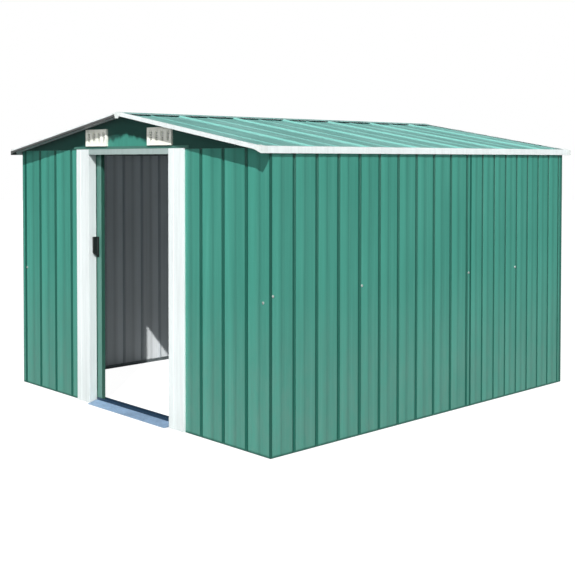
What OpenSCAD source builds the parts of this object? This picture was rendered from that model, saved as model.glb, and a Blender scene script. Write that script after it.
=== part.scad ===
// Metal storage shed: ribbed sheet walls on base rails, a low gable roof and two sliding doors.
// Millimetres. Origin on the ground at the middle of the shed, front towards -Y.

/* [Overall size] */
// Width of the walls, outer face to outer face
wall_w = 2492; // [2000:1:3200]
// Depth of the walls, outer face to outer face
wall_d = 2730; // [2000:1:3600]
// Height of the roof's top plane at the eaves
eave_h = 1593; // [1591:1:2100]
// Height of the roof's top plane at the ridge
ridge_h = 1808; // [1640:1:2500]
// Reach of the roof past the side walls
side_overhang = 14; // [12:1:60]
// Reach of the roof past the front and rear walls
end_overhang = 80; // [60:1:120]

/* [Sheets] */
// Thickness of the wall and door sheets
sheet_t = 0.8; // [0.5:0.1:1.2]
// Depth that a wall rib is sunk into the sheet
rib_d = 7; // [4:0.5:9]
// Width of a wall rib at the face
rib_w = 18; // [10:0.5:20]
// Reach of a wall rib's slanted side along the sheet
rib_slant = 4; // [2:0.5:5]
// Depth of the shallow bead half-way between two ribs
bead_d = 1.6; // [0.5:0.1:2]
// Width of the shallow bead
bead_w = 36; // [12:1:40]
// Width of the shallow bead's flat floor
bead_floor = 4; // [0:0.5:6]
// Thickness of the roof sheets
roof_t = 0.8; // [0.5:0.1:1.2]
// Height of a main roof rib
roof_rib_h = 10; // [6:0.5:14]
// Width of a main roof rib at its foot
roof_rib_w = 34; // [24:1:50]
// Reach of a main roof rib's slanted side along the sheet
roof_rib_slant = 6; // [3:0.5:9]
// Height of the small roof rib half-way between two main ones
roof_bead_h = 4; // [2:0.5:5]
// Width of the small roof rib at its foot
roof_bead_w = 24; // [14:1:34]
// Distance between main roof ribs
roof_pitch = 438; // [300:1:500]
// First main roof rib, from the front edge of the roof
roof_rib_first = 438; // [150:1:480]
// Seam between the roof sheets, in rib spacings from the first main roof rib
roof_seam_at = 2.5; // [1.5, 2.5, 3.5]

/* [Wall panels] */
// Width of a side wall's front panel
side_front_w = 682; // [500:1:900]
// Width of a side wall's middle panel
side_middle_w = 980; // [600:1:1100]
// First rib of a front side panel, from the wall's corner
side_front_first = 167; // [80:1:200]
// Rib spacing of the front side panels
side_front_pitch = 167.5; // [120:0.5:220]
// First rib of a middle side panel, from the panel's front edge
side_middle_first = 154; // [80:1:200]
// Rib spacing of the middle side panels
side_middle_pitch = 163; // [120:0.5:220]
// First rib of a rear side panel, from the panel's front edge
side_rear_first = 151; // [80:1:200]
// Rib spacing of the rear side panels
side_rear_pitch = 124.5; // [100:0.5:220]
// First rib of the front left wall, from its corner
front_left_first = 232; // [80:1:260]
// Rib spacing of the front left wall
front_left_pitch = 193; // [140:1:240]
// First rib of the front right wall, from its corner
front_right_first = 185; // [80:1:260]
// Rib spacing of the front right wall
front_right_pitch = 187; // [140:1:240]
// Rib spacing of the rear wall
rear_pitch = 192; // [140:1:240]

/* [Doorway] */
// Clear width between the jambs
door_open_w = 816; // [700:1:1000]
// Clear height under the header
door_open_h = 1558; // [1250:1:1560]
// Width of a jamb's face
jamb_w = 140; // [100:1:180]
// Width of the shallow channel down the middle of a jamb's face
jamb_channel_w = 46; // [20:1:50]
// Depth of that channel
jamb_channel_d = 1.5; // [0.5:0.1:1.6]
// Depth of a jamb behind the wall's outer face
jamb_depth = 43; // [35:1:60]
// How far the jambs and header stand proud of the wall
jamb_proud = 11; // [3:0.5:12]
// Height of the upper track's top above the clear opening
track_rise = 25; // [18:1:27]
// Height of the header's face
header_h = 33; // [26:1:38]
// Height of the sill's ramp
ramp_h = 20; // [10:1:26]
// Reach of the ramp in front of the wall
ramp_out = 36; // [10:1:50]
// Bare length between the ramp's ends and the jambs
ramp_inset = 12; // [2:1:40]

/* [Doors] */
// Width of one door
door_w = 445; // [400:1:600]
// Depth of the doors' folded frame
door_depth = 25; // [22:1:40]
// Width of a door's stiles and rails
stile_w = 50; // [35:1:70]
// Bare width of an open door that shows beside its jamb
door_show = 48; // [30:1:90]
// Running clearance between a door and what it slides past
door_clear = 5; // [5:0.5:8]
// Height of the track walls that hold the doors' edges
track_h = 30; // [26:1:36]
// Height of the doors' bottom edge
door_foot = 22; // [16:1:26]
// Height of the handle's middle
handle_z = 980; // [800:1:1100]
// Height of the handle
handle_h = 128; // [90:1:160]
// Width of the handle's grip
handle_w = 14; // [10:1:18]
// Reach of the handle's grip from the door
handle_depth = 36; // [25:1:44]
// Height of the handle's slanted lower end
handle_slant = 28; // [10:1:40]

/* [Vents] */
// Width of a vent plate
vent_w = 230; // [160:1:280]
// Height of a vent plate
vent_h = 104; // [70:1:108]
// Thickness of a vent plate
vent_t = 12; // [6:1:20]
// Distance of a vent's middle from the shed's middle
vent_x = 323; // [240:1:340]
// Slots in a vent plate
vent_slots = 4; // [2:1:6]
// Height of a slot
vent_slot_h = 58; // [30:1:62]
// Bare edge of a vent plate above and beside its slots
vent_rim = 20; // [10:1:30]

/* [Frame and trims] */
// Thickness of the base rails, posts and tracks
rail_t = 1.2; // [0.8:0.1:2]
// Height of a base rail's inner web
web_h = 18; // [14:1:40]
// Reach of a base rail inwards from the wall's face
rail_in = 38; // [30:1:40]
// Leg of a corner post
post_leg = 30; // [20:1:40]
// Leg of a top rail
top_leg = 26; // [18:1:36]
// Thickness of the white trims and the ridge cap
trim_t = 1.2; // [0.8:0.1:2]
// Height of an eave trim's face
eave_trim_h = 34; // [20:1:40]
// Height of a rake trim's face, square to the slope
rake_trim_h = 22; // [18:1:40]
// Reach of the trims' flanges over the roof
trim_flange = 25; // [15:1:40]
// Reach of the ridge cap down each slope
ridge_leg = 60; // [40:1:100]
// Wall of the roof's corner and peak caps
cap_t = 1.4; // [1:0.1:3]
// Length of the caps along the trims
cap_l = 46; // [30:1:80]
// Width of the tab that hangs from a peak cap
cap_tab_w = 40; // [20:1:56]
// Length of that tab below the trims
cap_tab_h = 15; // [6:1:24]
// Width of the roof beams
beam_w = 40; // [30:1:50]
// Height of the roof beams
beam_h = 28; // [20:1:40]
// Height of the pale strip over the doorway
head_rail_h = 15; // [10:1:24]
// How far the pale strip stands proud of the wall
head_rail_proud = 4; // [3:0.5:6]
// Reach of the pale strip past each jamb
head_rail_reach = 37; // [10:1:60]

/* [Hidden] */
$fn = 48;

// Gap between pieces that rest on or beside each other
seat = 0.2;
// Overlap used by cutting solids
cut = 5;

// Roof planes
roof_half_w = wall_w / 2 + side_overhang;
roof_half_d = wall_d / 2 + end_overhang;
roof_angle = atan2(ridge_h - eave_h, roof_half_w);
slope_len = roof_half_w / cos(roof_angle);
roof_stack = trim_t + seat + roof_rib_h + roof_t;
ridge_start = 8;

// Wall planes, counted inwards from the outer face
wall_front = -wall_d / 2;
rib_inner = rib_d + sheet_t;
web_in = rib_inner + seat;
post_in = web_in + rail_t + seat;
rail_reach = post_in + post_leg + seat;
foot_z = rail_t + seat;

// Doorway and doors
open_half = door_open_w / 2;
jamb_out = open_half + jamb_w;
jamb_lap = 20;
jamb_flange = 12;
head_top = door_open_h + track_rise;
header_top = door_open_h + header_h;
head_rail_half = jamb_out + head_rail_reach;
gable_gap = 4;
gable_foot = head_top + gable_gap;
track_in = jamb_depth + rail_t;
door_y = wall_front + track_in + door_clear;
track_w = door_depth + 2 * door_clear;
track_end = wall_w / 2 - rail_reach;
track_top = head_top - rail_t;
door_top_lap = 8;
door_top = door_open_h + door_top_lap;
door_h = door_top - door_foot;
door_lead = -(open_half - door_show);
door_back = door_lead - door_w;
glide_rest = 0.3;
glide_l = 50;
glide_in = 60;
handle_plate_t = 3;
handle_plate_w = 18;
handle_inset = 6;
handle_x = -(open_half - handle_inset);
panel_set_back = 6;
head_rail_gap = 1;
head_rail_z = header_top + head_rail_gap;
vent_gap = 2;
vent_z = head_rail_z + head_rail_h + vent_gap + vent_h / 2;

function roof_under(x) = ridge_h - abs(x) * tan(roof_angle) - roof_stack / cos(roof_angle);
// Point on the right slope's cross-section: u down the slope, w square to it
function slope_pt(u, w) = [
    u * cos(roof_angle) + w * sin(roof_angle),
    ridge_h - u * sin(roof_angle) + w * cos(roof_angle)
];
// Point at a given x on the line that lies w above the slope
function slope_at(x, w) = [x, ridge_h - x * tan(roof_angle) + w / cos(roof_angle)];
function reverse(list) = [for (i = [len(list) - 1:-1:0]) list[i]];
function flat(list) = [for (group = list, item = group) item];

// Ribs as [middle, width, slant, depth], with a shallow bead after each main rib
function main_rib(x) = [x, rib_w, rib_slant, rib_d];
function bead(x) = [x, bead_w, (bead_w - bead_floor) / 2, bead_d];
function rib_xs(first, pitch, length) =
    [for (x = first; x < length - rib_w / 2 - 2 * seat; x = x + pitch) x];
function ribs(first, pitch, length) = flat([
    for (x = rib_xs(first, pitch, length))
        x + pitch / 2 < length - bead_w ? [main_rib(x), bead(x + pitch / 2)] : [main_rib(x)]
]);
function leading_bead(first, pitch) = first - pitch / 2 > bead_w ? [bead(first - pitch / 2)] : [];
function wall_ribs(first, pitch, length) =
    concat(leading_bead(first, pitch), ribs(first, pitch, length));
function mirrored_ribs(list, length) = [for (r = reverse(list)) [length - r[0], r[1], r[2], r[3]]];

// One side of a ribbed sheet, moved by the bend allowance
function rib_line(r, bend, rise) = [
    [r[0] - r[1] / 2 - bend, rise],
    [r[0] - r[1] / 2 + r[2] - bend, rise + r[3]],
    [r[0] + r[1] / 2 - r[2] + bend, rise + r[3]],
    [r[0] + r[1] / 2 + bend, rise]
];
function bend_of(r, t) = t * tan(atan2(r[3], r[2]) / 2);
function sheet_outline(length, list, t) = concat(
    [[0, 0]],
    flat([for (r = list) rib_line(r, 0, 0)]),
    [[length, 0], [length, t]],
    reverse(flat([for (r = list) rib_line(r, bend_of(r, t), t)])),
    [[0, t]]
);

module ribbed_sheet(length, list, t, height) {
    linear_extrude(height) polygon(sheet_outline(length, list, t));
}

// A profile drawn as [distance from the wall's face, height], run along +X from 0
module along_x(length) {
    rotate([90, 0, 90]) linear_extrude(length) children();
}

// A profile drawn as [x, z], run along Y about the middle
module along_y(length) {
    rotate([90, 0, 0]) linear_extrude(length, center = true) children();
}

module both_sides() {
    children();
    mirror([1, 0, 0]) children();
}

module both_ends() {
    children();
    mirror([0, 1, 0]) children();
}

// Moves a child from the slope's own frame (X down the slope, Z square to it) to the right slope
module on_slope() {
    translate([0, 0, ridge_h]) rotate([0, roof_angle, 0]) children();
}

// Everything under the roof sheets, as a prism along Y
module under_roof() {
    side = wall_w / 2 + cut;
    along_y(wall_d + 2 * cut) polygon([
        [-side, 0],
        [side, 0],
        [side, roof_under(side) - seat],
        [0, roof_under(0) - seat],
        [-side, roof_under(side) - seat]
    ]);
}

// ---- base rails ----

module base_profile() {
    polygon([
        [0, 0],
        [rail_in, 0],
        [rail_in, rail_t],
        [web_in + rail_t, rail_t],
        [web_in + rail_t, web_h],
        [web_in, web_h],
        [web_in, rail_t],
        [0, rail_t]
    ]);
}

// A base rail along +X whose ends are mitred where asked; its wall face lies on y = 0
module mitred_rail(length, start_mitre, end_mitre) {
    start_out = start_mitre ? seat : 0;
    start_in = start_mitre ? rail_in + seat : 0;
    end_out = length - (end_mitre ? seat : 0);
    end_in = length - (end_mitre ? rail_in + seat : 0);
    intersection() {
        translate([-cut, 0, 0]) along_x(length + 2 * cut) base_profile();
        translate([0, 0, -cut]) linear_extrude(web_h + 2 * cut) polygon([
            [start_out, 0],
            [end_out, 0],
            [end_in, rail_in],
            [start_in, rail_in]
        ]);
    }
}

module base_rail_right() {
    color("gainsboro")
        translate([wall_w / 2, -wall_d / 2, 0])
            rotate([0, 0, 90])
                mitred_rail(wall_d, true, true);
}

module base_rail_left() {
    mirror([1, 0, 0]) base_rail_right();
}

module base_rail_rear() {
    color("gainsboro")
        mirror([0, 1, 0])
            translate([-wall_w / 2, wall_front, 0])
                mitred_rail(wall_w, true, true);
}

module base_rails_front() {
    color("gainsboro")
        both_sides()
            translate([-wall_w / 2, wall_front, 0])
                mitred_rail(wall_w / 2 - jamb_out - seat, true, false);
}

// Sill ramp between the jambs, and the floor track that both doors run in
module door_sill() {
    ramp_half = open_half - ramp_inset;
    color("lightsteelblue")
        union() {
            translate([-ramp_half, wall_front, 0])
                along_x(2 * ramp_half) polygon([
                    [-ramp_out, 0],
                    [track_in, 0],
                    [track_in, ramp_h],
                    [jamb_depth - rail_t, ramp_h],
                    [-ramp_out, rail_t]
                ]);
            translate([-track_end, wall_front, 0])
                along_x(2 * track_end) track_profile(rail_t, track_h);
        }
}

// U-shaped track, open upwards
module track_profile(floor_z, wall_z) {
    polygon([
        [jamb_depth, 0],
        [track_in + track_w + rail_t, 0],
        [track_in + track_w + rail_t, wall_z],
        [track_in + track_w, wall_z],
        [track_in + track_w, floor_z],
        [track_in, floor_z],
        [track_in, wall_z],
        [jamb_depth, wall_z]
    ]);
}

// ---- frame ----

module corner_posts() {
    post_h = roof_under(wall_w / 2 - post_in) - seat - foot_z;
    color("silver")
        both_ends()
            both_sides()
                translate([-wall_w / 2 + post_in, wall_front + post_in, foot_z])
                    linear_extrude(post_h) polygon([
                        [0, 0],
                        [post_leg, 0],
                        [post_leg, rail_t],
                        [rail_t, rail_t],
                        [rail_t, post_leg],
                        [0, post_leg]
                    ]);
}

module top_rail_profile() {
    polygon([
        [web_in, 0],
        [web_in, -top_leg],
        [web_in + top_leg, -top_leg],
        [web_in + top_leg, -top_leg + rail_t],
        [web_in + rail_t, -top_leg + rail_t],
        [web_in + rail_t, 0]
    ]);
}

// Rails along the tops of the side and rear walls, and the pale strip over the doorway
module top_rails() {
    side_z = roof_under(wall_w / 2 - web_in) - seat;
    color("silver") {
        both_sides()
            translate([wall_w / 2, -wall_d / 2 + rail_reach, side_z])
                rotate([0, 0, 90])
                    along_x(wall_d - 2 * rail_reach) top_rail_profile();
        mirror([0, 1, 0])
            translate([-wall_w / 2 + rail_reach, wall_front, head_top])
                along_x(wall_w - 2 * rail_reach) top_rail_profile();
        translate([-head_rail_half, wall_front, head_rail_z])
            along_x(2 * head_rail_half) polygon([
                [-head_rail_proud, 0],
                [-head_rail_proud + rail_t, 0],
                [-head_rail_proud + rail_t, head_rail_h - rail_t],
                [-seat, head_rail_h - rail_t],
                [-seat, head_rail_h],
                [-head_rail_proud, head_rail_h]
            ]);
    }
}

// Upper track: the doors' top edges slide in it
module door_track() {
    color("silver")
        translate([-track_end, wall_front, 0])
            along_x(2 * track_end) polygon([
                [web_in, track_top],
                [jamb_depth, track_top],
                [jamb_depth, door_open_h + door_clear],
                [track_in, door_open_h + door_clear],
                [track_in, track_top],
                [track_in + track_w, track_top],
                [track_in + track_w, door_open_h + door_clear],
                [track_in + track_w + rail_t, door_open_h + door_clear],
                [track_in + track_w + rail_t, head_top],
                [web_in, head_top]
            ]);
}

module slope_beam(u) {
    along_slope = u - beam_w / 2;
    on_slope()
        translate([along_slope, 0, -roof_stack - seat - beam_h])
            rotate([90, 0, 0])
                linear_extrude(wall_d - 2 * web_in, center = true)
                    difference() {
                        square([beam_w, beam_h]);
                        translate([rail_t, rail_t])
                            square([beam_w - 2 * rail_t, beam_h - 2 * rail_t]);
                    }
}

module ridge_beam() {
    top_z = roof_under(beam_w / 2) - seat;
    color("silver")
        along_y(wall_d - 2 * web_in)
            difference() {
                translate([-beam_w / 2, top_z - beam_h]) square([beam_w, beam_h]);
                translate([-beam_w / 2 + rail_t, top_z - beam_h + rail_t])
                    square([beam_w - 2 * rail_t, beam_h - 2 * rail_t]);
            }
}

module roof_purlins() {
    color("silver") both_sides() slope_beam(slope_len / 2);
}

// ---- walls ----

wall_green = "mediumaquamarine";

// Side wall panel from start to end, counted from the front corner
module side_panel(start, end, first, pitch) {
    length = end - start;
    top = roof_under(wall_w / 2) - seat;
    color(wall_green)
        translate([wall_w / 2, -wall_d / 2 + start, foot_z])
            rotate([0, 0, 90])
                ribbed_sheet(length, wall_ribs(first, pitch, length), sheet_t, top - foot_z);
}

side_seam_1 = side_front_w;
side_seam_2 = side_front_w + side_middle_w;

module right_wall_front() {
    side_panel(0, side_seam_1 - seat, side_front_first, side_front_pitch);
}
module right_wall_middle() {
    side_panel(side_seam_1, side_seam_2 - seat, side_middle_first, side_middle_pitch);
}
module right_wall_rear() {
    side_panel(side_seam_2, wall_d, side_rear_first, side_rear_pitch);
}
module left_wall_front() { mirror([1, 0, 0]) right_wall_front(); }
module left_wall_middle() { mirror([1, 0, 0]) right_wall_middle(); }
module left_wall_rear() { mirror([1, 0, 0]) right_wall_rear(); }

// End wall panel in the front wall's plane, from x = start to x = end, no higher than the roof
module end_panel(start, end, list, top) {
    color(wall_green)
        intersection() {
            translate([start, wall_front, foot_z])
                ribbed_sheet(end - start, list, sheet_t, top - foot_z);
            under_roof();
        }
}

end_edge = wall_w / 2 - sheet_t - seat;
front_panel_w = end_edge - (jamb_out - jamb_lap);
// The part of a front panel that shows, which holds all its ribs
front_ribbed_w = front_panel_w - jamb_lap;

module front_wall_left() {
    corner = wall_w / 2 - end_edge;
    end_panel(
        -end_edge,
        -end_edge + front_panel_w,
        wall_ribs(front_left_first - corner, front_left_pitch, front_ribbed_w),
        gable_foot - seat
    );
}

module front_wall_right() {
    corner = wall_w / 2 - end_edge;
    list = wall_ribs(front_right_first - corner, front_right_pitch, front_ribbed_w);
    end_panel(
        end_edge - front_panel_w,
        end_edge,
        mirrored_ribs(list, front_panel_w),
        gable_foot - seat
    );
}

rear_panel_w = 2 * end_edge / 3;
rear_ribs = wall_ribs(rear_pitch / 2, rear_pitch, rear_panel_w - rear_pitch / 4);

// Rear wall panel from x = start to x = end, with the air holes that fall on it
module rear_panel(start, end) {
    mirror([0, 1, 0])
        difference() {
            end_panel(start, end, rear_ribs, ridge_h);
            vent_holes();
        }
}

module rear_wall_left() { rear_panel(-end_edge, -rear_panel_w / 2 - seat); }
module rear_wall_middle() { rear_panel(-rear_panel_w / 2, rear_panel_w / 2); }
module rear_wall_right() { rear_panel(rear_panel_w / 2 + seat, end_edge); }

// Air holes through the sheet behind the vents
module vent_holes() {
    hole_w = vent_w - 2 * vent_rim;
    hole_h = vent_h - 2 * vent_rim;
    both_sides()
        translate([vent_x - hole_w / 2, wall_front - cut, vent_z - hole_h / 2])
            cube([hole_w, rib_inner + 2 * cut, hole_h]);
}

// Flat sheet over the front wall and the doorway, up to the roof
module gable_front() {
    color(wall_green)
        difference() {
            intersection() {
                translate([-end_edge, wall_front, gable_foot])
                    cube([2 * end_edge, sheet_t, ridge_h]);
                under_roof();
            }
            vent_holes();
        }
}

// ---- doorway ----

module door_jamb_right() {
    face = wall_front - jamb_proud;
    fold = wall_front - seat;
    back = wall_front + jamb_depth - seat;
    channel = [
        (open_half + jamb_out) / 2,
        jamb_channel_w + 2 * jamb_channel_d,
        jamb_channel_d,
        jamb_channel_d
    ];
    outer = concat(
        [[open_half, face]],
        rib_line(channel, 0, face),
        [[jamb_out, face], [jamb_out, fold], [jamb_out - trim_t, fold]],
        [[jamb_out - trim_t, face + trim_t]],
        reverse(rib_line(channel, bend_of(channel, trim_t), face + trim_t)),
        [[open_half + trim_t, face + trim_t]]
    );
    lining = [
        [open_half + trim_t, back - trim_t],
        [open_half + jamb_flange, back - trim_t],
        [open_half + jamb_flange, back],
        [open_half, back]
    ];
    lip = [[open_half + trim_t, fold], [open_half, fold]];
    color("white")
        union() {
            linear_extrude(track_top - seat) polygon(concat(outer, lining));
            linear_extrude(header_top) polygon(concat(outer, lip));
        }
}

module door_jamb_left() {
    mirror([1, 0, 0]) door_jamb_right();
}

module door_header() {
    half = open_half - seat;
    color("white")
        translate([-half, wall_front, door_open_h])
            along_x(2 * half) polygon([
                [-jamb_proud, 0],
                [jamb_depth - seat, 0],
                [jamb_depth - seat, trim_t],
                [-jamb_proud + trim_t, trim_t],
                [-jamb_proud + trim_t, header_h],
                [-jamb_proud, header_h]
            ]);
}

// Louvred plates; the slots stand side by side in the plate's upper part
module vent() {
    slot_w = (vent_w - 2 * vent_rim) / (2 * vent_slots - 1);
    difference() {
        translate([-vent_w / 2, -vent_t - seat, -vent_h / 2]) cube([vent_w, vent_t, vent_h]);
        for (i = [0:vent_slots - 1])
            translate([
                -vent_w / 2 + vent_rim + 2 * i * slot_w,
                -vent_t - cut,
                vent_h / 2 - vent_rim - vent_slot_h
            ])
                cube([slot_w, vent_t + 2 * cut, vent_slot_h]);
    }
}

module vents_front() {
    color("ivory")
        both_sides()
            translate([vent_x, wall_front, vent_z]) vent();
}

module vents_rear() {
    mirror([0, 1, 0]) vents_front();
}

// ---- roof ----

roof_end = (roof_half_w - trim_t - seat) / cos(roof_angle);

function roof_main(y) = [y, roof_rib_w, roof_rib_slant, roof_rib_h];
function roof_small(y) = [y, roof_bead_w, roof_bead_h, roof_bead_h];

// Ribs between two distances from the roof's front edge, counted from the first
function roof_ribs(start, end) = [
    for (k = [-1:0.5:ceil(2 * roof_half_d / roof_pitch)])
        let (y = roof_rib_first + k * roof_pitch)
            if (y > start + roof_rib_w / 2 && y < end - roof_rib_w / 2 - seat)
                (k == floor(k) ? roof_main(y - start) : roof_small(y - start))
];

// Roof sheet on the right slope, between two distances from the roof's front edge
module roof_panel(start, end) {
    color("cadetblue")
        on_slope()
            translate([ridge_start, -roof_half_d + start, -roof_stack])
                along_x(roof_end - ridge_start)
                    polygon(sheet_outline(end - start, roof_ribs(start, end), roof_t));
}

roof_edge = trim_t + seat;
roof_seam = roof_rib_first + roof_seam_at * roof_pitch + roof_rib_w;

module roof_right_front() { roof_panel(roof_edge, roof_seam - seat); }
module roof_right_rear() { roof_panel(roof_seam, 2 * roof_half_d - roof_edge); }
module roof_left_front() { mirror([1, 0, 0]) roof_right_front(); }
module roof_left_rear() { mirror([1, 0, 0]) roof_right_rear(); }

module ridge_cap() {
    inner = ridge_h - trim_t / cos(roof_angle);
    right = [slope_pt(ridge_leg, 0), slope_pt(ridge_leg, -trim_t)];
    color("cadetblue")
        along_y(2 * (roof_half_d - trim_flange - seat)) polygon([
            [0, ridge_h],
            right[0],
            right[1],
            [0, inner],
            [-right[1][0], right[1][1]],
            [-right[0][0], right[0][1]]
        ]);
}

module eave_trim_right() {
    outer = roof_half_w;
    inner = outer - trim_t;
    low = eave_h - eave_trim_h;
    lip = min(trim_flange / 2, side_overhang - 10 * seat);
    color("white")
        along_y(2 * (roof_half_d - trim_flange - seat)) polygon([
            [outer, eave_h],
            [outer, low],
            [outer - lip, low],
            [outer - lip, low + trim_t],
            [inner, low + trim_t],
            slope_at(inner, -trim_t),
            slope_pt(slope_len - trim_flange, -trim_t),
            slope_pt(slope_len - trim_flange, 0)
        ]);
}

module eave_trim_left() {
    mirror([1, 0, 0]) eave_trim_right();
}

// Folded trim along the sloping edges, with its face on y = 0
module rake_trim() {
    top_u = rake_trim_h * tan(roof_angle) + seat;
    color("white")
        on_slope()
            translate([top_u, -roof_half_d, 0])
                along_x(slope_len - top_u) polygon([
                    [0, 0],
                    [0, -rake_trim_h],
                    [trim_flange / 2, -rake_trim_h],
                    [trim_flange / 2, -rake_trim_h + trim_t],
                    [trim_t, -rake_trim_h + trim_t],
                    [trim_t, -trim_t],
                    [trim_flange, -trim_t],
                    [trim_flange, 0]
                ]);
}

module rake_trims_front() {
    both_sides() rake_trim();
}

module rake_trims_rear() {
    mirror([0, 1, 0]) rake_trims_front();
}

// Three-sided cap over the corner where a rake trim meets an eave trim
module corner_cap() {
    out = cap_t + seat;
    edge = roof_half_w + out;
    start = roof_half_w - cap_l;
    low = eave_h - eave_trim_h;
    translate([0, -roof_half_d + cap_l, 0]) rotate([90, 0, 0]) linear_extrude(cap_l + out) polygon([
        slope_at(start, out),
        slope_at(edge, out),
        [edge, low],
        [edge - cap_t, low],
        slope_at(edge - cap_t, seat),
        slope_at(start, seat)
    ]);
    translate([0, -roof_half_d - seat, 0]) rotate([90, 0, 0]) linear_extrude(cap_t) polygon([
        slope_at(start, out),
        slope_at(edge, out),
        [edge, low],
        slope_at(start, -rake_trim_h)
    ]);
}

// Peak cap over the upper ends of two rake trims
module peak_cap() {
    out = cap_t + seat;
    half = cap_l;
    inner_rise = seat / cos(roof_angle);
    outer_rise = out / cos(roof_angle);
    drop = half * tan(roof_angle);
    low = -rake_trim_h / cos(roof_angle);
    tab = cap_tab_w / 2;
    tab_low = low - cap_tab_h;
    translate([0, -roof_half_d, ridge_h]) {
        rotate([90, 0, 0]) translate([0, 0, seat]) linear_extrude(cap_t) polygon([
            [0, outer_rise],
            [half, outer_rise - drop],
            [half, low - drop],
            [tab, low - tab * tan(roof_angle)],
            [tab - cap_tab_h / 3, tab_low],
            [cap_tab_h / 3 - tab, tab_low],
            [-tab, low - tab * tan(roof_angle)],
            [-half, low - drop],
            [-half, outer_rise - drop]
        ]);
        translate([0, trim_flange, 0])
            rotate([90, 0, 0]) linear_extrude(trim_flange + seat) polygon([
                [0, outer_rise],
                [half, outer_rise - drop],
                [half, inner_rise - drop],
                [0, inner_rise],
                [-half, inner_rise - drop],
                [-half, outer_rise - drop]
            ]);
    }
}

module roof_caps() {
    color("white")
        both_ends() {
            both_sides() corner_cap();
            peak_cap();
        }
}

// ---- doors ----

module door_frame_block(inset, depth) {
    translate([door_back + inset, door_y, door_foot + inset])
        cube([door_w - 2 * inset, depth, door_h - 2 * inset]);
}

module door_left_frame() {
    color(wall_green)
        difference() {
            door_frame_block(0, door_depth);
            translate([0, -cut, 0]) door_frame_block(stile_w, door_depth + 2 * cut);
            translate([0, rail_t, 0])
                difference() {
                    door_frame_block(rail_t, door_depth);
                    translate([0, -cut, 0])
                        door_frame_block(stile_w - rail_t, door_depth + 2 * cut);
                }
        }
}

module door_left_panel() {
    width = door_w - 2 * stile_w - 2 * seat;
    height = door_h - 2 * stile_w - 2 * seat;
    pitch = width / 3;
    color(wall_green)
        translate([door_back + stile_w + seat, door_y + panel_set_back, door_foot + stile_w + seat])
            ribbed_sheet(width, wall_ribs(pitch / 2, pitch, width), sheet_t, height);
}

// Upright pull on a back plate, with its lower end cut back at a slant
module door_left_handle() {
    face = door_y - seat;
    plate_y = face - handle_plate_t;
    color("black")
        union() {
            translate([handle_x, plate_y, handle_z - handle_h / 2])
                cube([handle_plate_w, handle_plate_t, handle_h]);
            translate([handle_x, plate_y, handle_z])
                along_x(handle_w) polygon([
                    [0, handle_h / 2],
                    [-handle_depth, handle_h / 2],
                    [-handle_depth, -handle_h / 2 + handle_slant],
                    [0, -handle_h / 2]
                ]);
        }
}

// Nylon blocks above and below the door that run in the tracks
module door_left_glides() {
    glide_w = track_w - 2 * door_clear;
    glide_y = wall_front + track_in + door_clear;
    low = rail_t + glide_rest;
    high = track_top - glide_rest;
    color("dimgray")
        for (x = [door_back + glide_in, door_lead - glide_in - glide_l]) {
            translate([x, glide_y, low]) cube([glide_l, glide_w, door_foot - seat - low]);
            translate([x, glide_y, door_top + seat]) cube([glide_l, glide_w, high - door_top - seat]);
        }
}

module door_right_panel() { mirror([1, 0, 0]) door_left_panel(); }
module door_right_frame() { mirror([1, 0, 0]) door_left_frame(); }
module door_right_handle() { mirror([1, 0, 0]) door_left_handle(); }
module door_right_glides() { mirror([1, 0, 0]) door_left_glides(); }

base_rail_left();
base_rail_right();
base_rail_rear();
base_rails_front();
door_sill();
corner_posts();
top_rails();
front_wall_left();
front_wall_right();
left_wall_front();
left_wall_middle();
left_wall_rear();
right_wall_front();
right_wall_middle();
right_wall_rear();
rear_wall_left();
rear_wall_middle();
rear_wall_right();
door_jamb_left();
door_jamb_right();
door_header();
door_track();
gable_front();
vents_front();
vents_rear();
ridge_beam();
roof_purlins();
roof_left_front();
roof_left_rear();
roof_right_front();
roof_right_rear();
ridge_cap();
eave_trim_left();
eave_trim_right();
rake_trims_front();
rake_trims_rear();
roof_caps();
door_left_panel();
door_left_frame();
door_left_handle();
door_left_glides();
door_right_panel();
door_right_frame();
door_right_handle();
door_right_glides();
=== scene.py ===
"""Looks of the metal storage shed: formed sheets, folded trims, fittings, finishes, light and camera."""
import math

import bmesh
import bpy
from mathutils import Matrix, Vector


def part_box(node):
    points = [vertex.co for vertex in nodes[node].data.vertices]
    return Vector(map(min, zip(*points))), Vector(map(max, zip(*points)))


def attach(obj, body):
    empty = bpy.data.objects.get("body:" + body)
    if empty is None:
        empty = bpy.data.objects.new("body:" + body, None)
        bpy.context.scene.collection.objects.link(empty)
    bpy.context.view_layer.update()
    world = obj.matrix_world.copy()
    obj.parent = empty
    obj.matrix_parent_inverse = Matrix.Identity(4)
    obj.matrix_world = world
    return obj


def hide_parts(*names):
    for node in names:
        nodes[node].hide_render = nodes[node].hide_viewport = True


MM = 0.001
X, Y, Z = Vector((1, 0, 0)), Vector((0, 1, 0)), Vector((0, 0, 1))

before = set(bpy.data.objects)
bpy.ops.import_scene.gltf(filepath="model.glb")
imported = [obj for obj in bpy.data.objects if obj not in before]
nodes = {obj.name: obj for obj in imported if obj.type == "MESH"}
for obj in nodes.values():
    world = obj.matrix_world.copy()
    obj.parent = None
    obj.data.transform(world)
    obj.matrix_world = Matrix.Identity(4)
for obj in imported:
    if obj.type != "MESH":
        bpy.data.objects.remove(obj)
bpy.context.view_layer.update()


# ---- places, all from the frame ----

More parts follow.
